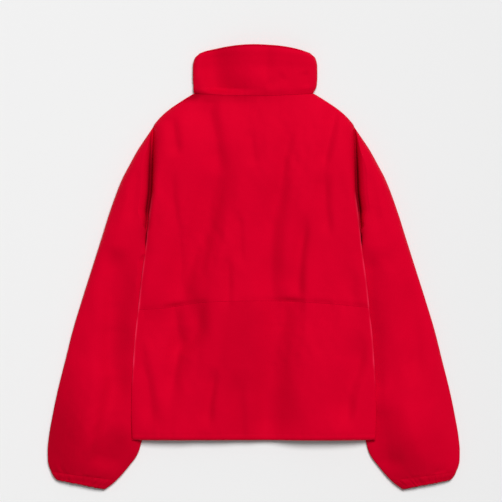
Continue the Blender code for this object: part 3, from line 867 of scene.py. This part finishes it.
# %% Make the cuffs
cuff_phase = np.linspace(0.0, 1.0, 321)[None, :-1]
cuff_t = np.linspace(0.0, 1.0, 26)[:, None]
cuffs = {}
# each cuff's red is painted deeper, more towards its edge
for side, sign in SIDES.items():
    grid = cuff_point(cuff_phase, cuff_t, SLEEVE_SEED[side] + 50) * sign
    cuffs[side] = cloth("cuff_%s_cloth" % side, grid, round_tube, closed=True,
                        shade=CUFF_DEEP + CUFF_DEEPER * cuff_t)

# %% [markdown]
# ## The placket
#
# The strip under the middle of the front is a long flat band with its edges folded under. It
# is a grid as well, pillowed very slightly across its width so that its edges look turned.

# %% Make the placket
PLACKET_HALF, PLACKET_TOP = 25.0, 394.5


def placket_point(w, y):
    """Flat strip: x is the half width times w, and the edges turn up by a circle's arc."""
    w, y = np.broadcast_arrays(w, y)
    return np.stack([PLACKET_HALF * w, y, 0.7 * lip(w, 30)], -1)


placket_w = across(41)[None, :]
placket_y = np.linspace(HEM_Y, PLACKET_TOP, 240)[:, None]
placket = cloth("front_placket_cloth", placket_point(placket_w, placket_y), downward)

# %% [markdown]
# ## Stitches
#
# Topstitching holds the hem and the cuffs' casings, and its small dents catch the light. Each
# stitch is a short rounded rod. They could be instances on a curve, but one mesh worked out
# as an array keeps them in a single piece that exports as it is.

# %% Stitches along a path
STITCH, STITCH_GAP, THREAD = 2.7, 1.0, 0.34      # length, space and thread radius, in mm
ROD_SIDES = 6


def stitches(name, path):
    """Rods of six sides laid along a path: each ring of a rod is a circle round its axis."""
    run = np.concatenate([[0.0], np.cumsum(np.linalg.norm(np.diff(path, axis=0), axis=1))])
    count = int(run[-1] // (STITCH + STITCH_GAP))
    middle = (np.arange(count) + 0.5) * run[-1] / count

    def on_path(at):
        return np.stack([np.interp(at, run, path[:, k]) for k in range(3)], -1)

    centre = on_path(middle)
    axis = on_path(middle + 0.5 * STITCH) - on_path(middle - 0.5 * STITCH)
    axis = axis / np.linalg.norm(axis, axis=1, keepdims=True)
    side = np.cross(axis, [0.0, 0.0, 1.0])
    side = side / np.linalg.norm(side, axis=1, keepdims=True)
    up = np.cross(side, axis)
    place = np.array([-0.5, -0.36, 0.0, 0.36, 0.5]) * STITCH
    radius = np.array([0.35, 0.85, 1.0, 0.85, 0.35]) * THREAD
    sink = np.array([-0.30, -0.05, 0.10, -0.05, -0.30])
    angle = np.arange(ROD_SIDES) * 2.0 * np.pi / ROD_SIDES
    rods = (centre[:, None, None] + axis[:, None, None] * place[:, None, None]
            + side[:, None, None] * (radius[:, None] * np.cos(angle))[..., None]
            + up[:, None, None] * (radius[:, None] * np.sin(angle) + sink[:, None])[..., None])
    points = rods.reshape(-1, 3) * MM
    ring = np.arange(ROD_SIDES)
    turn = (ring + 1) % ROD_SIDES
    band = np.stack([ring, turn, ROD_SIDES + turn, ROD_SIDES + ring], -1)
    last = ROD_SIDES * (len(place) - 1)
    rod = (band[None] + np.arange(0, last, ROD_SIDES)[:, None, None]).reshape(-1, 4)
    offset = np.arange(count) * (last + ROD_SIDES)
    quads = (rod[None] + offset[:, None, None]).reshape(-1, 4)
    caps = np.concatenate([ring[::-1][None] + offset[:, None],
                           last + ring[None] + offset[:, None]])
    mesh = bpy.data.meshes.new(name)
    mesh.from_pydata(points.tolist(), [], quads.tolist() + caps.tolist())
    mesh.polygons.foreach_set("use_smooth", np.ones(len(quads) + len(caps), dtype=bool))
    print(name, "stitches", count)
    return show(name, mesh)


# %% Lay the lines of stitches
line_u = np.linspace(-0.985, 0.985, 500)
LIFT = np.array([0.0, 0.0, 0.12])
hem_stitches = stitches("hem_stitches", back_point(line_u, HEM_Y + HEM_STITCH) + LIFT)
cuff_stitches = {}
for side, sign in SIDES.items():
    line = cuff_point(np.linspace(0.015, 0.485, 300), 0.16, SLEEVE_SEED[side] + 50)
    cuff_stitches[side] = stitches("cuff_%s_stitches" % side, (line + LIFT) * sign)

# %% [markdown]
# ## The cloth's finish
#
# The shell is nylon taffeta: fine filament yarn in a plain weave, dyed a strong red. It is
# matt with a slight satin glow, because the filaments are smooth but lie in two directions.
# Real threads are about 0.25 mm apart, too fine to show here, so the weave is drawn 1.2 mm
# apart and very faint. In a deep fold a dye looks deeper, since light meets the cloth more
# than once, and real folds also cast shadows that these flatter ones can't. The shade
# attribute is painted shade standing in for both: it mixes in a deeper red at the hollow
# places. Its amounts were set one by one, not measured. The paler line on the side seam's
# turned edge is a painted highlight. Both are painted into the cloth's colour, so they stay
# when the light moves.

# %% Colour and node helpers
def linear(code):
    """sRGB hex code to linear red, green, blue."""
    value = np.array([int(code[k:k + 2], 16) for k in (1, 3, 5)]) / 255.0
    low, high = value / 12.92, ((value + 0.055) / 1.055) ** 2.4
    return (*np.where(value <= 0.04045, low, high).tolist(), 1.0)


def node(tree, kind, links=(), **settings):
    """Adds a node, sets its properties and sockets, and links (socket, source) pairs."""
    new = tree.nodes.new(kind)
    for key, value in settings.items():
        if key.startswith("in_"):
            new.inputs[key[3:].replace("_", " ")].default_value = value
        else:
            setattr(new, key, value)
    for socket, source in links:
        tree.links.new(source, new.inputs[socket])
    return new


# %% The woven cloth
WEAVE_MM = 1.2
BANDS = 6.2832 / 20.0                # a wave texture's scale for bands one unit apart
PAINTED_HIGHLIGHT_RED = "#F02C50"                 # painted highlight: the paler red along a turned edge
PAINTED_SHADE_RED = "#78000F"               # painted shade: the deeper red mixed in at folds and hollows


def taffeta(name, deep, mid, weave=0.10):
    """Dyed filament cloth: drifting red, a painted highlight on turned edges, painted shade in
    folds, bumpy weave.
    """
    material = bpy.data.materials.new(name)
    material.use_nodes = True
    tree = material.node_tree
    shader = tree.nodes["Principled BSDF"]
    place = node(tree, "ShaderNodeTexCoord")
    cloud = node(tree, "ShaderNodeTexNoise", [("Vector", place.outputs["Object"])],
                 in_Scale=14.0, in_Detail=4.0, in_Roughness=0.55)
    ramp = node(tree, "ShaderNodeMapRange", [("Value", cloud.outputs[0])],
                in_From_Min=0.3, in_From_Max=0.7)
    mix = node(tree, "ShaderNodeMix", [(0, ramp.outputs[0])], data_type="RGBA")
    mix.inputs[6].default_value = linear(deep)
    mix.inputs[7].default_value = linear(mid)
    # painted highlight: a paler red along the side seam's turned edge
    painted_highlight = node(tree, "ShaderNodeAttribute", attribute_name="painted_highlight")
    pale = node(tree, "ShaderNodeMix", [(0, painted_highlight.outputs["Fac"]), (6, mix.outputs[2])],
                data_type="RGBA")
    pale.inputs[7].default_value = linear(PAINTED_HIGHLIGHT_RED)
    # painted shade: a deeper red mixed in at folds and hollows
    shade = node(tree, "ShaderNodeAttribute", attribute_name="shade")
    deeper = node(tree, "ShaderNodeMix", [(0, shade.outputs["Fac"]), (6, pale.outputs[2])],
                  data_type="RGBA")
    deeper.inputs[7].default_value = linear(PAINTED_SHADE_RED)
    tree.links.new(deeper.outputs[2], shader.inputs["Base Color"])
    warp, weft = (node(tree, "ShaderNodeTexWave", [("Vector", place.outputs["Object"])],
                       bands_direction=way, in_Scale=BANDS / (WEAVE_MM * MM),
                       in_Distortion=0.6) for way in "XY")
    threads = node(tree, "ShaderNodeMath", [(0, warp.outputs["Fac"]), (1, weft.outputs["Fac"])],
                   operation="MULTIPLY")
    fine = node(tree, "ShaderNodeBump", [("Height", threads.outputs[0])],
                in_Strength=weave, in_Distance=0.0003)
    grain = node(tree, "ShaderNodeMapping", [("Vector", place.outputs["Object"])],
                 in_Scale=(1.0, 0.3, 1.0))
    crumple = node(tree, "ShaderNodeTexNoise", [("Vector", grain.outputs[0])],
                   in_Scale=80.0, in_Detail=3.0)
    soft = node(tree, "ShaderNodeBump",
                [("Height", crumple.outputs[0]), ("Normal", fine.outputs[0])],
                in_Strength=0.14, in_Distance=0.0012)
    tree.links.new(soft.outputs[0], shader.inputs["Normal"])
    shader.inputs["Roughness"].default_value = 0.52
    shader.inputs["IOR"].default_value = 1.5
    shader.inputs["Specular IOR Level"].default_value = 0.12
    shader.inputs["Specular Tint"].default_value = linear("#FF3048")
    shader.inputs["Sheen Weight"].default_value = 0.06
    shader.inputs["Sheen Roughness"].default_value = 0.5
    shader.inputs["Sheen Tint"].default_value = linear("#FF2038")
    return material


# the shell: an even strong red, nearly matt
shell = taffeta("nylon_taffeta_dyed_red", "#CF0026", "#D50028")
# the same cloth over elastic, a trace brighter where it is stretched
casing = taffeta("nylon_taffeta_over_elastic", "#CF0026", "#D60028")
# thread has no weave, and its cooler red just separates it from the cloth
sewing = taffeta("polyester_sewing_thread_red", "#CC0A2C", "#D60E32", weave=0.0)

# %% [markdown]
# ## Fit each piece to the frame
#
# Every piece rides on the one body and stands for its own solid.

FRONT_CUT, FRONTS, PLACKET = (0.22, 0.622), ["front_left", "front_right"], ["front_placket"]


def fit(piece, node_name, material, extra=()):
    """Gives a piece its finish and its place in the frame, hides its solid, and fits its stitches
    with the thread's finish.
    """
    piece.data.materials.append(material)
    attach(piece, "root")
    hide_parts(node_name)
    for other in extra:
        other.data.materials.append(sewing)
        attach(other, "root")


fit(back_upper, "back_upper", shell)
fit(back_lower, "back_lower", shell, [hem_stitches])
for front, name in zip((front_left, front_right), FRONTS):
    fit(front, name, shell)
fit(placket, "front_placket", shell)
fit(collar, "collar", shell)
for side in SIDES:
    fit(sleeves[side], "sleeve_" + side, shell)
    fit(cuffs[side], "cuff_" + side, casing,
        [cuff_stitches[side]])

# %% [markdown]
# ## Table, light and camera
#
# The table is a pale matt sheet, its colour painted a little darker towards the window light
# and paler away from it, to even out that light's falloff. One broad light hangs over it and
# leans towards the collar, so the hem and the cuffs throw a short soft shadow, and a weak
# even light fills the rest.
# The camera looks straight down through a long lens, which keeps the outline true.

# %% The table
TABLE_SIZE, TABLE_DROP = 12.0, 0.0004     # it lies a hair below the cloth
bpy.ops.mesh.primitive_plane_add(size=TABLE_SIZE, location=(0.0, 0.0, -TABLE_DROP))
table = bpy.context.object
table.name = "table"
paper = bpy.data.materials.new("matt_paper_sweep")
paper.use_nodes = True
paper_tree = paper.node_tree
# painted light: the paper runs from #F6F6F6 away from the window light to #E6E6E6 towards it,
# evening out the light's falloff
paper_place = node(paper_tree, "ShaderNodeTexCoord")
paper_far = node(paper_tree, "ShaderNodeVectorMath", [("Vector", paper_place.outputs["Object"])],
                 operation="DOT_PRODUCT")
paper_far.inputs[1].default_value = (0.66, 0.75, 0.0)
paper_painted_falloff = node(paper_tree, "ShaderNodeMapRange", [("Value", paper_far.outputs["Value"])],
                  in_From_Min=-0.6, in_From_Max=0.6)
paper_mix = node(paper_tree, "ShaderNodeMix", [(0, paper_painted_falloff.outputs[0])], data_type="RGBA")
paper_mix.inputs[6].default_value = linear("#F6F6F6")
paper_mix.inputs[7].default_value = linear("#E6E6E6")
paper_shader = paper_tree.nodes["Principled BSDF"]
paper_tree.links.new(paper_mix.outputs[2], paper_shader.inputs["Base Color"])
paper_shader.inputs["Roughness"].default_value = 0.9
paper_shader.inputs["Specular IOR Level"].default_value = 0.0
table.data.materials.append(paper)


# %% The lights
def soft_light(name, place, aim, size, watts):
    """Square area light at a place, pointed at an aim."""
    lamp = bpy.data.lights.new(name, "AREA")
    lamp.shape = "SQUARE"
    lamp.size = size
    lamp.energy = watts
    holder = show(name, lamp)
    holder.location = place
    facing = np.array(aim) - np.array(place)
    holder.rotation_euler = Vector(facing).to_track_quat("-Z", "Y").to_euler()
    return holder


soft_light("window_light", (1.35, 3.5, 6.8), (0.0, 0.0, 0.0), 3.4, 545.0)
soft_light("ceiling_light", (0.0, 0.6, 5.6), (0.0, 0.0, 0.0), 3.4, 20.0)
world = bpy.data.worlds.new("studio")
world.use_nodes = True
world.node_tree.nodes["Background"].inputs["Color"].default_value = (1.0, 1.0, 1.0, 1.0)
world.node_tree.nodes["Background"].inputs["Strength"].default_value = 0.20
bpy.context.scene.world = world
bpy.context.scene.view_settings.view_transform = "Standard"

# %% The camera
VIEW_WIDTH = 0.9036        # width of the table that the picture takes in, in metres
CAMERA_X, CAMERA_Y = -0.0049, 0.0279
CAMERA_HEIGHT, SENSOR = 3.2, 36.0
eye = bpy.data.cameras.new("camera")
eye.sensor_width = SENSOR
eye.lens = SENSOR * CAMERA_HEIGHT / VIEW_WIDTH
camera = show("camera", eye)
camera.location = (CAMERA_X, CAMERA_Y, CAMERA_HEIGHT)
bpy.context.scene.camera = camera
print("lens", round(eye.lens, 1))
